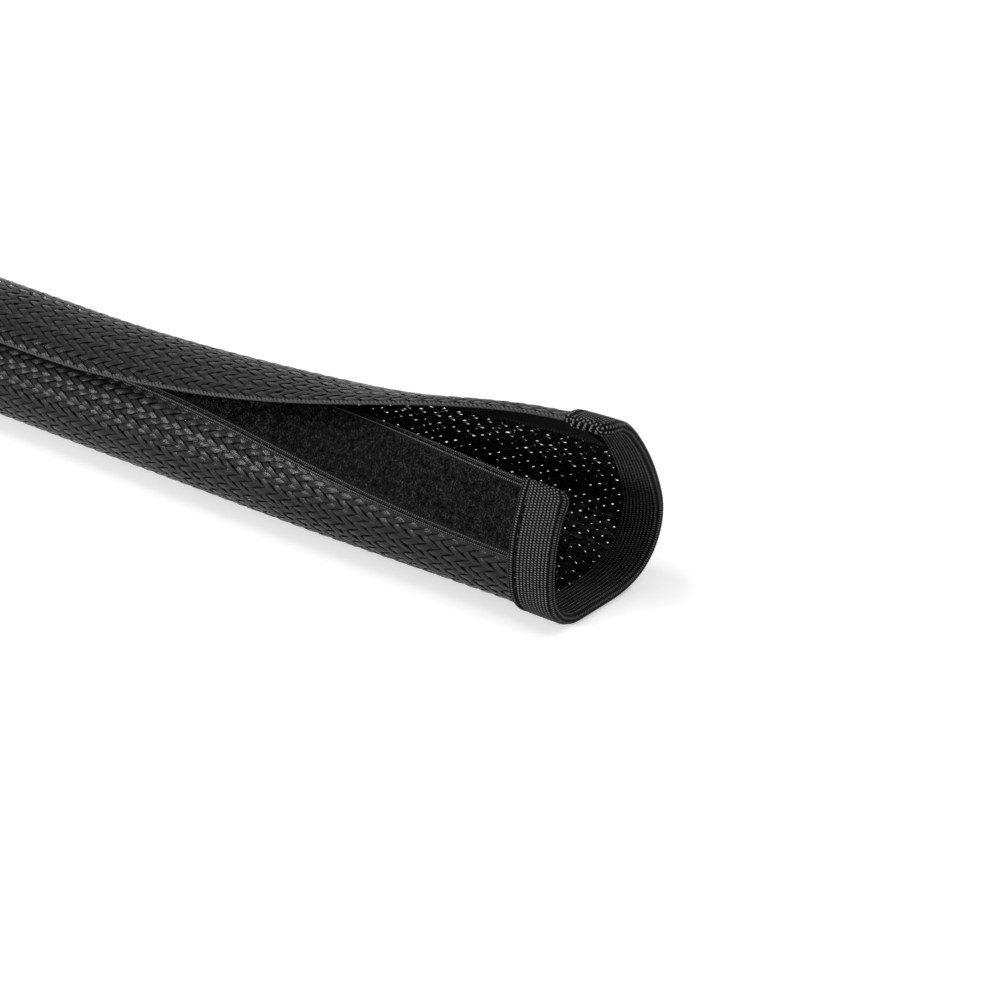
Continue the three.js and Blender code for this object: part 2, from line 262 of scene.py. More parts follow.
class Heap:
    """Points and faces of one piece, gathered part by part, with two attributes of the points: lay, a
    place along and across a strand or tape, and way, the direction that a strand runs in."""

    def __init__(self):
        self.points = []
        self.lay = []
        self.way = []
        self.quads = []
        self.tris = []
        self.count = 0

    def add(self, points, quads, tris=(), lay=None, way=None):
        points = points.reshape(-1, 3)
        nothing = np.zeros((len(points), 3))
        self.points.append(points)
        self.lay.append(nothing if lay is None else lay.reshape(-1, 3))
        self.way.append(nothing if way is None else way.reshape(-1, 3))
        self.quads.append(np.asarray(quads) + self.count)
        if len(tris):
            self.tris.append(np.asarray(tris) + self.count)
        self.count += len(points)

    def tube(self, rings, lay, caps=None):
        """rings (n, k, 3): a closed ring carried along, with flat ends; caps are a ring's triangles."""
        n, k = rings.shape[:2]
        ring, corner = np.meshgrid(np.arange(n - 1), np.arange(k), indexing="ij")
        a = ring * k + corner
        b = ring * k + (corner + 1) % k
        quads = np.stack([a, b, b + k, a + k], axis=-1).reshape(-1, 4)
        first = np.array([(0, j + 1, j) for j in range(1, k - 1)]) if caps is None else caps
        last = first[:, ::-1] + (n - 1) * k
        way = np.gradient(rings.mean(axis=1), axis=0)
        way /= np.maximum(np.linalg.norm(way, axis=1), 1e-9)[:, None]
        self.add(rings, quads, np.concatenate([first, last]), lay, np.repeat(way, k, axis=0))

    def ribbons(self, lines, sides):
        """lines and half widths sides (m, n, 3): flat ribbons without thickness."""
        m, n = lines.shape[:2]
        points = np.stack([lines - sides, lines + sides], axis=2)
        line, place = np.meshgrid(np.arange(m), np.arange(n - 1), indexing="ij")
        a = (line * n + place) * 2
        self.add(points, np.stack([a, a + 1, a + 3, a + 2], axis=-1).reshape(-1, 4))

    def square_tubes(self, lines, sides, ups):
        """lines, sides and ups (m, n, 3): many square tubes at once."""
        m, n = lines.shape[:2]
        points = np.stack([lines - sides, lines + ups, lines + sides, lines - ups], axis=2)
        line, place, corner = np.meshgrid(np.arange(m), np.arange(n - 1), np.arange(4), indexing="ij")
        a = (line * n + place) * 4 + corner
        b = (line * n + place) * 4 + (corner + 1) % 4
        quads = np.stack([a, b, b + 4, a + 4], axis=-1).reshape(-1, 4)
        starts = np.arange(m)[:, None] * n * 4
        first = starts + np.array([3, 2, 1, 0])
        last = starts + (n - 1) * 4 + np.array([0, 1, 2, 3])
        self.add(points, np.concatenate([quads, first, last]))

    def make_piece(self, name, material, sharp_angle=None):
        quads = np.concatenate(self.quads)
        tris = np.concatenate(self.tris) if self.tris else np.zeros((0, 3), int)
        points = np.concatenate(self.points)
        mesh = bpy.data.meshes.new(name)
        mesh.vertices.add(len(points))
        mesh.vertices.foreach_set("co", points.astype(np.float32).ravel())
        corners = np.concatenate([quads.ravel(), tris.ravel()]).astype(np.int32)
        mesh.loops.add(len(corners))
        mesh.loops.foreach_set("vertex_index", corners)
        starts = np.concatenate([np.arange(len(quads)) * 4, quads.size + np.arange(len(tris)) * 3])
        mesh.polygons.add(len(starts))
        mesh.polygons.foreach_set("loop_start", starts.astype(np.int32))
        mesh.update(calc_edges=True)
        mesh.polygons.foreach_set("use_smooth", np.ones(len(starts), bool))
        for title, values in (("lay", self.lay), ("way", self.way)):
            attribute = mesh.attributes.new(title, "FLOAT_VECTOR", "POINT")
            attribute.data.foreach_set("vector", np.concatenate(values).astype(np.float32).ravel())
        if sharp_angle is not None:
            mesh.set_sharp_from_angle(angle=math.radians(sharp_angle))
        mesh.materials.append(material)
        made = bpy.data.objects.new(name, mesh)
        bpy.context.scene.collection.objects.link(made)
        print(name, 2 * len(quads) + len(tris), "triangles")
        return made


# Materials


def node(tree, kind, inputs=None, **settings):
    """A node with its settings, and its inputs given as values or as sockets to link."""
    made = tree.nodes.new(kind)
    for key, value in settings.items():
        setattr(made, key, value)
    for key, value in (inputs or {}).items():
        if isinstance(value, bpy.types.NodeSocket):
            tree.links.new(value, made.inputs[key])
        else:
            made.inputs[key].default_value = value
    return made


def maths(tree, operation, a, b=0.0):
    return node(tree, "ShaderNodeMath", {0: a, 1: b}, operation=operation).outputs[0]


def read_attribute(tree, name):
    return node(tree, "ShaderNodeAttribute", attribute_name=name).outputs["Vector"]


def noise(tree, vector, scale, detail, roughness):
    inputs = {"Vector": vector, "Scale": scale, "Detail": detail, "Roughness": roughness}
    return node(tree, "ShaderNodeTexNoise", inputs).outputs["Fac"]


def map_range(tree, value, to_min, to_max, from_min=0.0, from_max=1.0):
    inputs = {"Value": value, "To Min": to_min, "To Max": to_max}
    inputs.update({"From Min": from_min, "From Max": from_max})
    return node(tree, "ShaderNodeMapRange", inputs).outputs["Result"]


def new_material(name, level, roughness, specular):
    """A material of one grey level."""
    material = bpy.data.materials.new(name)
    material.use_nodes = True
    tree = material.node_tree
    shader = tree.nodes["Principled BSDF"]
    shader.inputs["Base Color"].default_value = (level, level, level, 1)
    shader.inputs["Roughness"].default_value = roughness
    shader.inputs["Specular IOR Level"].default_value = specular
    return material, tree, shader


def shade(tree, shader, factor, places, dark, light):
    """The base colour runs from dark to light grey, at two places of the factor."""
    ramp = node(tree, "ShaderNodeValToRGB", {"Fac": factor})
    for element, place, level in zip(ramp.color_ramp.elements, places, (dark, light)):
        element.position = place
        element.color = (level, level, level, 1)
    tree.links.new(ramp.outputs["Color"], shader.inputs["Base Color"])


def roughen(tree, shader, height, depth):
    """Relief of the height, which is from 0 to 1, at a depth in millimetres."""
    inputs = {"Height": height, "Strength": 1.0, "Distance": depth * MM}
    bump = node(tree, "ShaderNodeBump", inputs)
    tree.links.new(bump.outputs["Normal"], shader.inputs["Normal"])


STRAND_OFFSET = 3.7              # in the noise, from one strand to the next
RIM_SHADE_FROM = 0.6                   # share of a ribbon's half width where its rim, with its painted shade, begins
RIM_SHADED_SHINE = 0.1                  # shine at the very rim, as a share of the middle's: painted shade of the gaps between ribbons


def streak_material(name, dark, light, rough, grain, depth, specular):
    """Filaments that run along a ribbon or thread, from its lay attribute (along, across, number), with
    painted shade at the rims.
    rough is the roughness of light and dark filaments, and grain the steps along and across."""
    material, tree, shader = new_material(name, dark, rough[0], specular)
    lay = read_attribute(tree, "lay")
    inputs = {0: lay, 1: (*grain, STRAND_OFFSET)}
    scaled = node(tree, "ShaderNodeVectorMath", inputs, operation="MULTIPLY")
    streaks = noise(tree, scaled.outputs["Vector"], 1.0, 2.0, 0.6)
    shade(tree, shader, streaks, (0.3, 0.75), dark, light)
    roughen(tree, shader, streaks, depth)
    roughness = map_range(tree, streaks, rough[1], rough[0], 0.3, 0.7)
    tree.links.new(roughness, shader.inputs["Roughness"])
    # The rims lie in the gaps between the ribbons, and their shine is cut there as painted shade
    across = node(tree, "ShaderNodeSeparateXYZ", {"Vector": lay}).outputs["Y"]
    from_middle = maths(tree, "ABSOLUTE", across)
    shine = map_range(tree, from_middle, specular, RIM_SHADED_SHINE * specular, RIM_SHADE_FROM)
    tree.links.new(shine, shader.inputs["Specular IOR Level"])
    # Filaments spread a highlight across themselves and keep it short along themselves
    normal = node(tree, "ShaderNodeNewGeometry").outputs["Normal"]
    inputs = {0: normal, 1: read_attribute(tree, "way")}
    sideways = node(tree, "ShaderNodeVectorMath", inputs, operation="CROSS_PRODUCT")
    tree.links.new(sideways.outputs["Vector"], shader.inputs["Tangent"])
    shader.inputs["Anisotropic"].default_value = 0.85
    return material


def grain_material(name, dark, light, roughness, scale, depth, specular):
    """A fine irregular grain, in space."""
    material, tree, shader = new_material(name, dark, roughness, specular)
    place = node(tree, "ShaderNodeTexCoord").outputs["Object"]
    grain = noise(tree, place, scale, 3.0, 0.6)
    shade(tree, shader, grain, (0.4, 0.64), dark, light)
    roughen(tree, shader, grain, depth)
    return material


def weave_material(name, dark, light, rib, rib_start, bead, depth, specular, roughness):
    """Ribs of a woven tape with beads along them, from its lay attribute (along, across, plainness), with
    painted highlights on the beads' crests.
    """
    material, tree, shader = new_material(name, dark, roughness, specular)
    lay = read_attribute(tree, "lay")
    split = node(tree, "ShaderNodeSeparateXYZ", {"Vector": lay})
    ribs = maths(tree, "DIVIDE", maths(tree, "SUBTRACT", split.outputs["Y"], rib_start), rib)
    hollow = maths(tree, "COSINE", maths(tree, "MULTIPLY", ribs, 2 * math.pi))
    crest = maths(tree, "SUBTRACT", 0.5, maths(tree, "MULTIPLY", hollow, 0.5))
    # The beads of one rib stand between those of the next
    offset = maths(tree, "MULTIPLY", maths(tree, "FLOOR", ribs), 0.5)
    beads = maths(tree, "ADD", maths(tree, "DIVIDE", split.outputs["X"], bead), offset)
    wave = maths(tree, "COSINE", maths(tree, "MULTIPLY", beads, 2 * math.pi))
    pearl = maths(tree, "ADD", 0.5, maths(tree, "MULTIPLY", wave, 0.5))
    height = maths(tree, "MULTIPLY", crest, pearl)
    roughen(tree, shader, height, depth)
    # Painted highlights on the beads' crests, fading to the dark grey in the hollows and uneven; the plain
    # part of a tape gets none and stays dark
    uneven = noise(tree, lay, 1.3, 3.0, 0.7)
    shown = maths(tree, "SUBTRACT", 2.0, maths(tree, "MULTIPLY", split.outputs["Z"], 2.0))
    painted_glint = maths(tree, "MULTIPLY", height, maths(tree, "MULTIPLY", uneven, shown))
    shade(tree, shader, painted_glint, (0.2, 0.8), dark, light)
    return material


ribbon_material = streak_material(
    "ribbon", dark=0.0008, light=0.007, rough=(0.15, 0.25), grain=(0.3, 5.0), depth=0.06, specular=0.24
)
cord_material = streak_material(
    "edge_cord", dark=0.02, light=0.12, rough=(0.4, 0.6), grain=(2.0, 6.0), depth=0.06, specular=0.3
)
thread_material = streak_material(
    "thread", dark=0.02, light=0.1, rough=(0.4, 0.6), grain=(2.0, 4.0), depth=0.04, specular=0.25
)
# In the tapes' weaves, light is the grey of the painted highlights on the beads
binding_material = weave_material(
    "binding",
    dark=0.001,
    light=0.19,
    rib=RIB_PITCH,
    rib_start=RIB_FROM,
    bead=BEAD_PITCH,
    depth=0.3,
    specular=0.05,
    roughness=0.5,
)
loop_tape_material = weave_material(
    "loop_tape",
    dark=0.004,
    light=0.15,
    rib=0.6,
    rib_start=0.0,
    bead=BEAD_PITCH,
    depth=0.15,
    specular=0.08,
    roughness=0.6,
)
hook_tape_material = weave_material(
    "hook_tape",
    dark=0.008,
    light=0.06,
    rib=0.8,
    rib_start=0.0,
    bead=0.9,
    depth=0.08,
    specular=0.05,
    roughness=0.7,
)
pile_material = grain_material(
    "loop_pile", dark=0.0005, light=0.045, roughness=0.9, scale=600.0, depth=0.1, specular=0.02
)
hook_material = grain_material(
    "hooks", dark=0.004, light=0.035, roughness=0.5, scale=700.0, depth=0.02, specular=0.2
)


# Braid


def rise(x):
    """How far out a ribbon is, in rises, at x rows from where it starts to pass over."""
    x = np.mod(x, REPEAT)
    over = 1 + RIBBON_ARCH * np.sin(np.pi * x)
    down = np.cos(np.pi * (x - 1))
    under = -1 - RIBBON_ARCH * np.sin(np.pi * (x - 2))
    up = -np.cos(np.pi * (x - 3))
    return np.select([x < 1, x < 2, x < 3], [over, down, under], up)


def ribbon(heap, number, way, s_low, s_high):
    """One ribbon from s_low to s_high, as a flat diamond carried along, whose sides lie in the wall."""
    tan, sin, cos = math.tan(LEAN), math.sin(LEAN), math.cos(LEAN)
    start = 0 if way > 0 else REPEAT / 2
    clear = 0.2
    x = (np.arange(-1, ROWS // REPEAT + 2)[:, None] * REPEAT + start + STATIONS).ravel()
    x = x[(x * ROW > s_low + clear) & (x * ROW < s_high - clear)]
    x = np.concatenate([[s_low / ROW], x, [s_high / ROW]])
    s = (x * ROW)[:, None]
    u = number * RIBBON_STEP + way * s / tan
    half = RIBBON_WIDTH / 2
    thick = RIBBON_THICK / 2
    wander = RIBBON_WANDER * rng.standard_normal()
    tilt = RIBBON_TILT * rng.standard_normal(len(x))
    # The sides reach the crossings before and after the middle does
    shear = half * math.cos(2 * LEAN) / (RIBBON_STEP * sin)
    middle = RIBBON_RISE * rise(x - start)
    high = RIBBON_RISE * rise(x - start + shear) + tilt
    low = RIBBON_RISE * rise(x - start - shear) - tilt
    off = np.stack([low, middle + thick, high, middle - thick], axis=1)
    across = np.array([-half, 0, half, 0]) + wander
    rings = on_wall(u - way * sin * across, np.clip(s + cos * across, 0, WIDTH), off)
    lay = np.zeros(rings.shape)
    lay[:, :, 0] = s / sin
    lay[:, :, 1] = [-1, 0, 1, 0]
    lay[:, :, 2] = number * way
    heap.tube(rings[:, ::way], lay[:, ::way])


def braid_family(name, way):
    """The ribbons of one family: way 1 goes away from the near flap's edge with u, and -1 towards it."""
    heap = Heap()
    tan = math.tan(LEAN)
    span = WIDTH / tan
    before = span if way > 0 else 0
    first = math.floor((RIBBON_END - before) / RIBBON_STEP)
    final = math.ceil((LENGTH - RIBBON_END + span - before) / RIBBON_STEP)
    for number in range(first, final + 1):
        base = number * RIBBON_STEP
        ends = [tan * way * (end - base) for end in (RIBBON_END, LENGTH - RIBBON_END)]
        s_low = max(EDGE_IN, min(ends))
        s_high = min(WIDTH - EDGE_IN, max(ends))
        if s_high - s_low >= SHORTEST_RIBBON:
            ribbon(heap, number, way, s_low, s_high)
    return heap.make_piece(name, ribbon_material, sharp_angle=60)


def edge_cord(name, s_middle):
    """Two plies twisted round each other along a flap's edge."""
    heap = Heap()
    pitch, helix, ply = 2.4, 0.3, 0.36
    corners, rings_a_turn = 4, 6
    u = np.arange(RIBBON_END, LENGTH - RIBBON_END, pitch / rings_a_turn)[:, None]
    around = np.arange(corners) * 2 * math.pi / corners
    for phase in (0, math.pi):
        turn = 2 * math.pi * u / pitch + phase
        s = s_middle + helix * np.cos(turn) + ply * np.cos(around)
        off = helix * np.sin(turn) + ply * np.sin(around)
        rings = on_wall(u, s, off)
        lay = np.zeros(rings.shape)
        lay[:, :, 0] = u
        lay[:, :, 1] = np.cos(around)
        lay[:, :, 2] = phase
        heap.tube(rings, lay)
    return heap.make_piece(name, cord_material)


rising = braid_family("braid_ribbons_rising", 1)
falling = braid_family("braid_ribbons_falling", -1)
near_cord = edge_cord("near_flap_edge_cord", EDGE_IN)
far_cord = edge_cord("far_flap_edge_cord", WIDTH - EDGE_IN)


# Strips

# Points across the tapes: (s, off, height of the ribs) on the face and (s, off) on the base
LOOP_FACE = [
    (0.0, 0.8, 0.02),
    (0.2, 1.0, 0.06),
    (0.9, 1.05, 0.06),
    (1.7, 1.05, 0.06),
    (2.1, 0.95, 0.03),
    (2.3, 0.85, 0),
    (STRIP_WIDTH / 2, 0.85, 0),
    (STRIP_WIDTH - 2.3, 0.85, 0),
    (STRIP_WIDTH - 2.1, 1.0, 0.03),
    (STRIP_WIDTH - 1.6, 1.05, 0.06),
    (STRIP_WIDTH - 1.0, 0.9, 0.06),
    (STRIP_WIDTH - 0.4, 0.6, 0.05),
    (STRIP_WIDTH + 0.2, 0.3, 0.03),
    (STRIP_WIDTH + 0.5, 0.1, 0),
]
LOOP_BASE = [
    (0.0, 0.5),
    (SELVEDGE, 0.5),
    (STRIP_WIDTH / 2, 0.5),
    (STRIP_WIDTH - SELVEDGE, 0.5),
    (STRIP_WIDTH - 0.7, 0.3),
    (STRIP_WIDTH + 0.5, -0.05),
]
HOOK_FACE = [
    (0.0, 0.7, 0),
    (0.2, 0.95, 0.06),
    (1.7, 0.95, 0.06),
    (2.1, 0.85, 0),
    (STRIP_WIDTH / 2, 0.85, 0),
    (STRIP_WIDTH - 2.1, 0.85, 0),
    (STRIP_WIDTH - 1.7, 0.95, 0.06),
    (STRIP_WIDTH - 0.2, 0.95, 0.06),
    (STRIP_WIDTH, 0.7, 0),
]
HOOK_BASE = [(0.0, 0.5), (STRIP_WIDTH / 2, 0.5), (STRIP_WIDTH, 0.5)]


def flat_caps(s, off):
    """Triangles that close a ring with these points."""
    return np.array(tessellate_polygon([[Vector((a, b, 0)) for a, b in zip(s, off)]]))


def strip(name, start, side, face, base, pitch, material):
    """A woven tape from s = start on, on the wall's outside (side 1) or inside (side -1)."""
    heap = Heap()
    step = pitch / 2
    u = np.arange(TAPE_FROM, LENGTH - TAPE_FROM + step / 2, step)[:, None]
    s, off, ribs = np.array(face + [(*point, 0) for point in base[::-1]]).T
    ribbed = off + ribs * np.cos(2 * math.pi * u / pitch)
    rings = on_wall(u, start + s, side * ribbed)
    lay = np.zeros(rings.shape)
    lay[:, :, 0] = u
    lay[:, :, 1] = s
    lay[:, :, 2] = (s > SELVEDGE) & (s < STRIP_WIDTH - SELVEDGE)
    heap.tube(rings, lay, flat_caps(s, off))
    return heap.make_piece(name, material, sharp_angle=50)


loop_strip = strip("loop_strip_tape", 0, 1, LOOP_FACE, LOOP_BASE, BEAD_PITCH, loop_tape_material)
hook_strip = strip(
    "hook_strip_tape", HOOK_START, -1, HOOK_FACE, HOOK_BASE, 2 * BEAD_PITCH, hook_tape_material
)


def pile(name):
    """Small loops that stand on the loop strip."""
    heap = Heap()
    pitch, jitter, lean, wide, root = 0.62, 0.3, 0.25, 0.1, 0.82
    u, s = np.meshgrid(
        np.arange(STRIP_FROM, LENGTH - STRIP_FROM, pitch),
        np.arange(SELVEDGE + 0.35, STRIP_WIDTH - SELVEDGE - 0.2, pitch),
        indexing="ij",
    )
    many = (u.size, 1)
    u = u.reshape(many) + rng.uniform(-jitter, jitter, many)
    s = s.reshape(many) + rng.uniform(-jitter, jitter, many)
    turn = rng.uniform(0, 2 * math.pi, many)
    reach = rng.uniform(0.2, 0.42, many)
    tall = rng.uniform(0.2, 0.62, many)
    lean_u = rng.uniform(-lean, lean, many)
    lean_s = rng.uniform(-lean, lean, many)
    # A loop from foot to foot: shares of its reach and of its height
    along = np.array([-0.8, -1, 0, 1, 0.8])
    up = np.array([0, 0.6, 1, 0.6, 0])
    u = u + np.cos(turn) * reach * along + lean_u * up
    s = s + np.sin(turn) * reach * along + lean_s * up
    off = root + tall * up
    lines = on_wall(u, s, off)
    sides = on_wall(u - np.sin(turn) * wide, s + np.cos(turn) * wide, off) - lines
    heap.ribbons(lines, sides)
    return heap.make_piece(name, pile_material)


def hooks(name):
    """Small hooks in rows that stand on the hook strip, turned one way and the other."""
    heap = Heap()
    pitch, jitter, thick, root = 1.9, 0.1, 0.09, 0.83
    u, s = np.meshgrid(
        np.arange(STRIP_FROM + 1, LENGTH - STRIP_FROM - 1, pitch),
        np.arange(SELVEDGE + 0.8, STRIP_WIDTH - SELVEDGE - 0.5, pitch),
        indexing="ij",
    )
    turned = np.ones(u.shape)
    turned[:, 1::2] = -1
    many = (u.size, 1)
    turned = turned.reshape(many)
    u = u.reshape(many) + rng.uniform(-jitter, jitter, many)
    # A hook from its foot to its tip: how far along and how high its points are, and its half thickness
    along = np.array([-0.25, -0.2, 0.05, 0.3, 0.36])
    tall = np.array([0, 0.35, 0.6, 0.5, 0.3])
    thick_along = np.array([thick, thick, 0.03, -0.05, -0.07])
    thick_up = np.array([0, 0.02, 0.08, 0.06, 0.03])
    u = u + turned * along
    s = s.reshape(many)
    off = -(root + tall)
    lines = on_wall(u, s, off)
    sides = on_wall(u, s + thick, off) - lines
    ups = on_wall(u + turned * thick_along, s, off - thick_up) - lines
    heap.square_tubes(lines, sides, ups)
    return heap.make_piece(name, hook_material, sharp_angle=40)


loop_pile = pile("loop_pile")
hook_rows = hooks("hook_rows")


# Bindings

# The outer leg's edge rib and stitched groove: (distance from the leg's edge, level, height of the beads)
EDGE_RIB = [
    (0.0, -0.25, 0),
    (0.15, 0.02, 0),
    (0.5, 0.16, 0.09),
    (0.95, 0.2, 0.09),
    (1.4, 0.16, 0.09),
    (1.7, 0.02, 0),
    (1.85, -0.2, 0),
    (GROOVE_FROM_EDGE, -0.3, 0),
    (GROOVE_FROM_EDGE + 0.3, -0.2, 0),
]
EDGE_TWIST = 1.5                 # how the edge rib's beads slant, in radians a millimetre
INNER_EDGE_LEVEL = -0.25
FACE_DOWN = 0.2                  # the ribs' feet, below the tape's face


def tape_path():
    """The middle of the folded tape's thickness: the distance from the outer leg's edge, the points in
    (u, off) and their outward normals."""
    step = 0.05
    middle = WALL / 2 + LAYER_GAP + BINDING_THICK / 2
    deep = END_PAD - BINDING_THICK / 2
    outer = [(BINDING_WIDTH - d, middle) for d in np.arange(0, BINDING_WIDTH - END_PAD, step)]
    turns = np.linspace(0, math.pi, 60)
    fold = [(END_PAD - deep * math.sin(a), middle * math.cos(a)) for a in turns]
    inner = [(END_PAD + d, -middle) for d in np.arange(step, BINDING_INNER - END_PAD + 0.01, step)]
    points = np.array(outer + fold + inner)
    way = np.gradient(points, axis=0)
    way /= np.linalg.norm(way, axis=1)[:, None]
    normal = np.stack([way[:, 1], -way[:, 0]], axis=1)
    steps = np.linalg.norm(np.diff(points, axis=0), axis=1)
    return np.concatenate([[0], np.cumsum(steps)]), points, normal


TAPE_ALONG, TAPE_POINTS, TAPE_NORMALS = tape_path()
TAPE_LENGTH = TAPE_ALONG[-1]


def off_tape(places, out):
    """u and off of the points that lie out of the tape's middle, at places along its path."""
    at = [np.interp(places, TAPE_ALONG, TAPE_POINTS[:, k]) for k in (0, 1)]
    normal = [np.interp(places, TAPE_ALONG, TAPE_NORMALS[:, k]) for k in (0, 1)]
    return at[0] + normal[0] * out, at[1] + normal[1] * out


def tape_face():
    """Across the tape's face: places, level, height of the beads and their phase."""
    edge, edge_level, edge_bead = np.array(EDGE_RIB).T
    w = np.arange(RIB_FROM, TAPE_LENGTH - 0.3, RIB_PITCH / 4)
    ribs = (w - RIB_FROM) / RIB_PITCH
    bulge = 0.5 - 0.5 * np.cos(2 * math.pi * ribs)
    places = np.concatenate([edge, w, [TAPE_LENGTH]])
    level = np.concatenate([edge_level, 0.02 + RIB_HIGH * bulge, [INNER_EDGE_LEVEL]])
    bead = np.concatenate([edge_bead, BEAD_HIGH * bulge, [0]])
    phase = np.concatenate([EDGE_TWIST * edge, np.floor(ribs) % 2 * math.pi, [0]])
    return places, level, bead, phase


def binding(name, at_mouth):
    """The folded tape, carried across the flat width, with its ribs and beads."""
    heap = Heap()
    face, level, bead, phase = tape_face()
    fold_from = BINDING_WIDTH - END_PAD
    far_back = TAPE_LENGTH - np.array([0, 4, 8])
    under = np.concatenate([far_back, fold_from + np.array([1.9, 1.3, 0.7, 0.1, -3, -7, -11]), [0]])
    points_a_bead = 3 if at_mouth else 2
    step = BEAD_PITCH / points_a_bead
    s = np.arange(-BINDING_OVERHANG, WIDTH + BINDING_OVERHANG + step / 2, step)[:, None]
    from_far_end = WIDTH + BINDING_OVERHANG - s
    from_end = np.minimum(s + BINDING_OVERHANG, from_far_end)
    beads = bead * np.cos(2 * math.pi * s / BEAD_PITCH + phase)
    # The tape is turned in at both ends, which makes it thicker there and rounds the very end
    turned_in = 0.3 * fade(from_end - 4, 2.5) - 0.75 * fade(from_end, 0.9) ** 2
    crumple = 0.16 * fade(from_far_end, 5)
    crumple = crumple * np.sin(2.1 * s + 1.7 * face) * np.sin(3.3 * face - 1.1 * s)
    out = BINDING_THICK / 2 - FACE_DOWN + level + beads + turned_in + crumple
    # The legs meet at the ends and close the slot between them
    pinch = (WALL / 2 + LAYER_GAP - 0.03) * fade(from_end, 0.75)
    back = -BINDING_THICK / 2 - pinch + np.zeros(len(under))
    places = np.concatenate([face, under])
    u, off = off_tape(places, np.concatenate([out, back], axis=1))
    # The corners are rounded: the fold draws back there
    rounded = 1.7 * fade(from_end, 3) ** 1.5
    u = u + rounded * (1 - u / BINDING_WIDTH)
    if not at_mouth:
        u = LENGTH - u
    middle = len(s) // 2
    rings = on_wall(u, s, off)
    lay = np.zeros(rings.shape)
    lay[:, :, 0] = s
    lay[:, :, 1] = places
    way = 1 if at_mouth else -1
    heap.tube(rings[::way], lay[::way], flat_caps(u[middle], off[middle]))
    return heap.make_piece(name, binding_material, sharp_angle=70)


mouth_binding = binding("mouth_binding_tape", True)
rear_binding = binding("rear_binding_tape", False)


# Stitches

STITCH_LENGTH = 2.3
STITCH_GAP = 0.3
STITCH_THICK = 0.12
STITCH_ARCH = 0.05


def stitches(heap, start, end, off):
    """A run of stitches from start to end, both (u, s), on the face at off."""
    (u0, s0), (u1, s1) = start, end
    run = math.hypot(u1 - u0, s1 - s0)
    way = np.array([u1 - u0, s1 - s0]) / run
    count = int(run / (STITCH_LENGTH + STITCH_GAP))
    middles = (np.arange(count) + 0.5) * run / count
    along = np.array([-0.5, -0.3, 0, 0.3, 0.5])
    up = np.array([-1.2, 0.5, 1, 0.5, -1.2])
    distance = middles[:, None] + along * STITCH_LENGTH
    u = u0 + way[0] * distance
    s = s0 + way[1] * distance
    off = off + math.copysign(STITCH_ARCH, off) * up
    lines = on_wall(u, s, off)
    sides = on_wall(u - way[1] * STITCH_THICK, s + way[0] * STITCH_THICK, off) - lines
    ups = on_wall(u, s, off + STITCH_THICK) - lines
    heap.square_tubes(lines, sides, ups)


def strip_stitches(name, strip_start, upper_off, lower_off):
    """The seams along both edges of a strip."""
    heap = Heap()
    for inset, off in ((SEAM_INSET, upper_off), (STRIP_WIDTH - SEAM_INSET, lower_off)):
        s = strip_start + inset
        stitches(heap, (STRIP_FROM, s), (LENGTH - STRIP_FROM, s), off)
    return heap.make_piece(name, thread_material, sharp_angle=60)


def binding_stitches(name, at_mouth):
    """The seam in the outer leg's groove and where it comes out on the inner leg."""
    heap = Heap()
    outer = (BINDING_WIDTH - GROOVE_FROM_EDGE, BINDING_FACE - 0.35)
    inner = (BINDING_INNER - GROOVE_FROM_EDGE, -(BINDING_FACE - 0.1))
    for from_end, off in (outer, inner):
        u = from_end if at_mouth else LENGTH - from_end
        stitches(heap, (u, 0), (u, WIDTH), off)
    return heap.make_piece(name, thread_material, sharp_angle=60)


loop_stitches = strip_stitches("loop_strip_stitches", 0, 1.1, 0.98)
hook_stitches = strip_stitches("hook_strip_stitches", HOOK_START, -1.0, -1.0)
mouth_stitches = binding_stitches("mouth_binding_stitches", True)
rear_stitches = binding_stitches("rear_binding_stitches", False)


# Riding, and what each piece stands in for; the slot listed for each piece is not used

dressing = [
    (rising, "braid", ["braided_wall"]),
    (falling, "braid", ["braided_wall"]),
    (near_cord, "braid", ["braided_wall"]),
    (far_cord, "braid", ["braided_wall"]),
    (loop_strip, "loop_pile", ["loop_strip"]),
    (loop_pile, "loop_pile", ["loop_strip"]),
    (hook_strip, "hook_tape", ["hook_strip"]),
    (hook_rows, "hook_tape", ["hook_strip"]),
    (mouth_binding, "binding", ["mouth_binding"]),
    (rear_binding, "binding", ["rear_binding"]),
    (loop_stitches, "thread", ["loop_strip_upper_seam_thread", "loop_strip_lower_seam_thread"]),
    (hook_stitches, "thread", ["hook_strip_upper_seam_thread", "hook_strip_lower_seam_thread"]),
    (mouth_stitches, "thread", ["mouth_binding_seam_thread"]),
    (rear_stitches, "thread", ["rear_binding_seam_thread"]),
]
for piece, slot, nodes in dressing:
    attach(piece, "root")
    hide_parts(*nodes)


# Floor, light and camera, in metres

FLOOR_REACH = 12.0
FLOOR_GLOW = 0.42
AMBIENT = 0.4                    # the world's light, where it isn't seen as the backdrop
BACKDROP = 1.0
LIGHT_AIM = (0.05, 0, 0)
LIGHTS = [                       # name, place, size, watts
    ("key", (-0.3, -1.2, 0.45), (0.95, 0.13), 15.0),
    ("top", (-0.3, -0.1, 1.3), (0.6, 0.4), 4.0),
    ("back", (0.35, 0.95, 0.7), (0.9, 0.15), 4.0),
]
AZIMUTH = math.radians(38.4)
ELEVATION = math.radians(27.1)
FOCAL_PIXELS = 3984.0
FRAME_PIXELS = 1000.0
AIM_PIXEL = (581.6, 621.5)       # where the mouth rests on the floor, from the picture's left and top
AIM_DEPTH = 0.976                # how far in front of the camera that is
SENSOR = 36.0                    # millimetres

scene = bpy.context.scene
scene.view_settings.view_transform = "Standard"


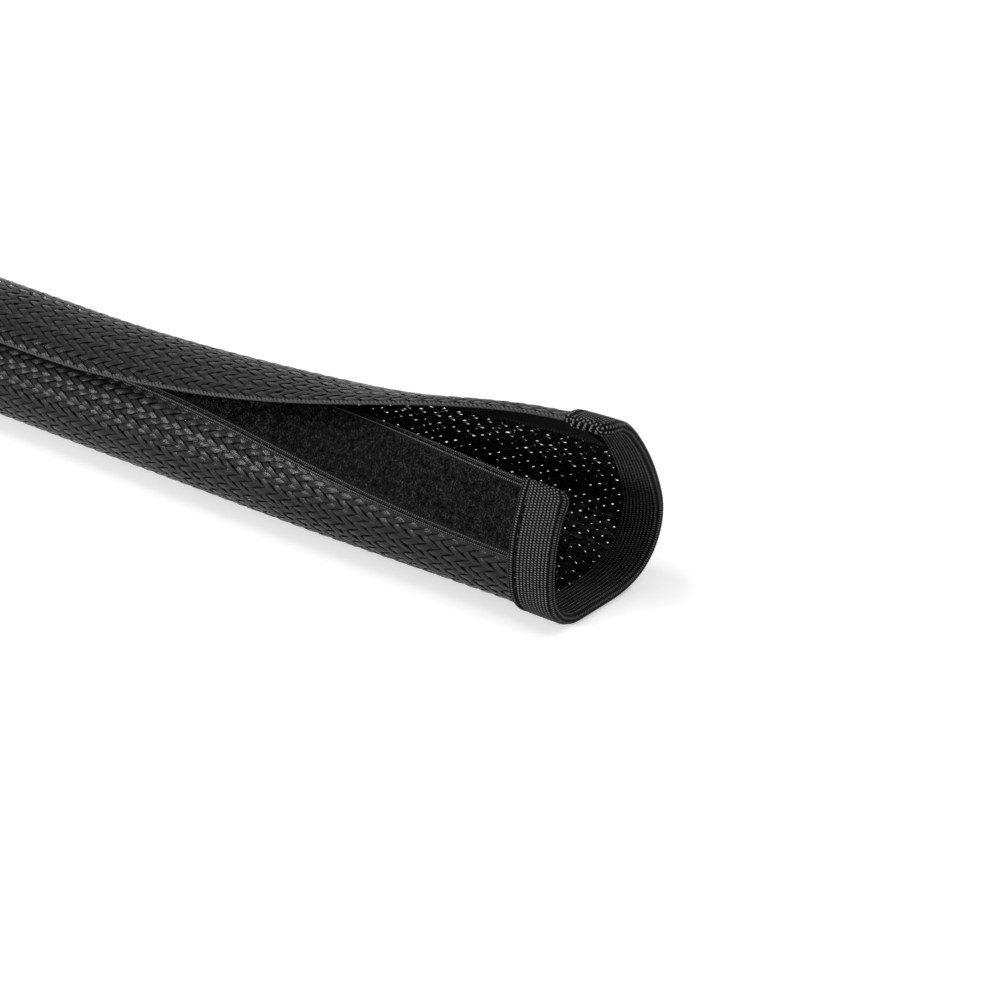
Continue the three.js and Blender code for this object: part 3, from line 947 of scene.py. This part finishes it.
def seen_rays(tree):
    """1 for the rays that show the backdrop: camera, glossy and transmission rays."""
    path = node(tree, "ShaderNodeLightPath").outputs
    camera_or_glossy = maths(tree, "MAXIMUM", path["Is Camera Ray"], path["Is Glossy Ray"])
    return maths(tree, "MAXIMUM", camera_or_glossy, path["Is Transmission Ray"])


def lay_floor():
    """A pale floor that keeps its shadow and glows just enough to be white."""
    mesh = bpy.data.meshes.new("floor")
    corners = [(x * FLOOR_REACH, y * FLOOR_REACH, 0) for x, y in ((-1, -1), (1, -1), (1, 1), (-1, 1))]
    mesh.from_pydata(corners, [], [(0, 1, 2, 3)])
    floor = bpy.data.objects.new("floor", mesh)
    scene.collection.objects.link(floor)
    material = bpy.data.materials.new("floor")
    material.use_nodes = True
    tree = material.node_tree
    tree.nodes.clear()
    diffuse = node(tree, "ShaderNodeBsdfDiffuse", {"Color": (0.9, 0.9, 0.9, 1)})
    glow = maths(tree, "MULTIPLY", seen_rays(tree), FLOOR_GLOW)
    shine = node(tree, "ShaderNodeEmission", {"Color": (1, 1, 1, 1), "Strength": glow})
    both = node(tree, "ShaderNodeAddShader", {0: diffuse.outputs[0], 1: shine.outputs[0]})
    node(tree, "ShaderNodeOutputMaterial", {"Surface": both.outputs[0]})
    mesh.materials.append(material)
    return floor


def light_world():
    """A white backdrop that lights the sleeve less than it shows."""
    world = bpy.data.worlds.new("studio")
    scene.world = world
    world.use_nodes = True
    tree = world.node_tree
    tree.nodes.clear()
    strength = map_range(tree, seen_rays(tree), AMBIENT, BACKDROP)
    background = node(tree, "ShaderNodeBackground", {"Color": (1, 1, 1, 1), "Strength": strength})
    node(tree, "ShaderNodeOutputWorld", {"Surface": background.outputs[0]})


def area_light(name, place, size, power):
    lamp = bpy.data.lights.new(name, "AREA")
    lamp.shape = "RECTANGLE"
    lamp.size, lamp.size_y = size
    lamp.energy = power
    made = bpy.data.objects.new(name, lamp)
    scene.collection.objects.link(made)
    made.location = place
    made.rotation_euler = (Vector(LIGHT_AIM) - Vector(place)).to_track_quat("-Z", "Y").to_euler()
    made.visible_camera = False


def set_camera():
    """The camera stands so that the mouth rests at its pixel and depth."""
    right = Vector((math.cos(AZIMUTH), math.sin(AZIMUTH), 0))
    level = math.cos(ELEVATION)
    back = Vector((math.sin(AZIMUTH) * level, -math.cos(AZIMUTH) * level, math.sin(ELEVATION)))
    up = back.cross(right)
    data = bpy.data.cameras.new("camera")
    data.sensor_width = SENSOR
    data.lens = SENSOR * FOCAL_PIXELS / FRAME_PIXELS
    data.clip_start = 0.05
    data.clip_end = 60
    camera = bpy.data.objects.new("camera", data)
    scene.collection.objects.link(camera)
    aim = Vector((LENGTH / 2 * MM, SHIFT[1], 0))
    aside = (AIM_PIXEL[0] - FRAME_PIXELS / 2) / FOCAL_PIXELS * AIM_DEPTH
    above = -(AIM_PIXEL[1] - FRAME_PIXELS / 2) / FOCAL_PIXELS * AIM_DEPTH
    place = aim + back * AIM_DEPTH - right * aside - up * above
    turn = Matrix((right, up, back)).transposed().to_4x4()
    camera.matrix_world = Matrix.Translation(place) @ turn
    scene.camera = camera


lay_floor()
light_world()
for name, place, size, power in LIGHTS:
    area_light(name, place, size, power)
set_camera()

bpy.context.view_layer.update()
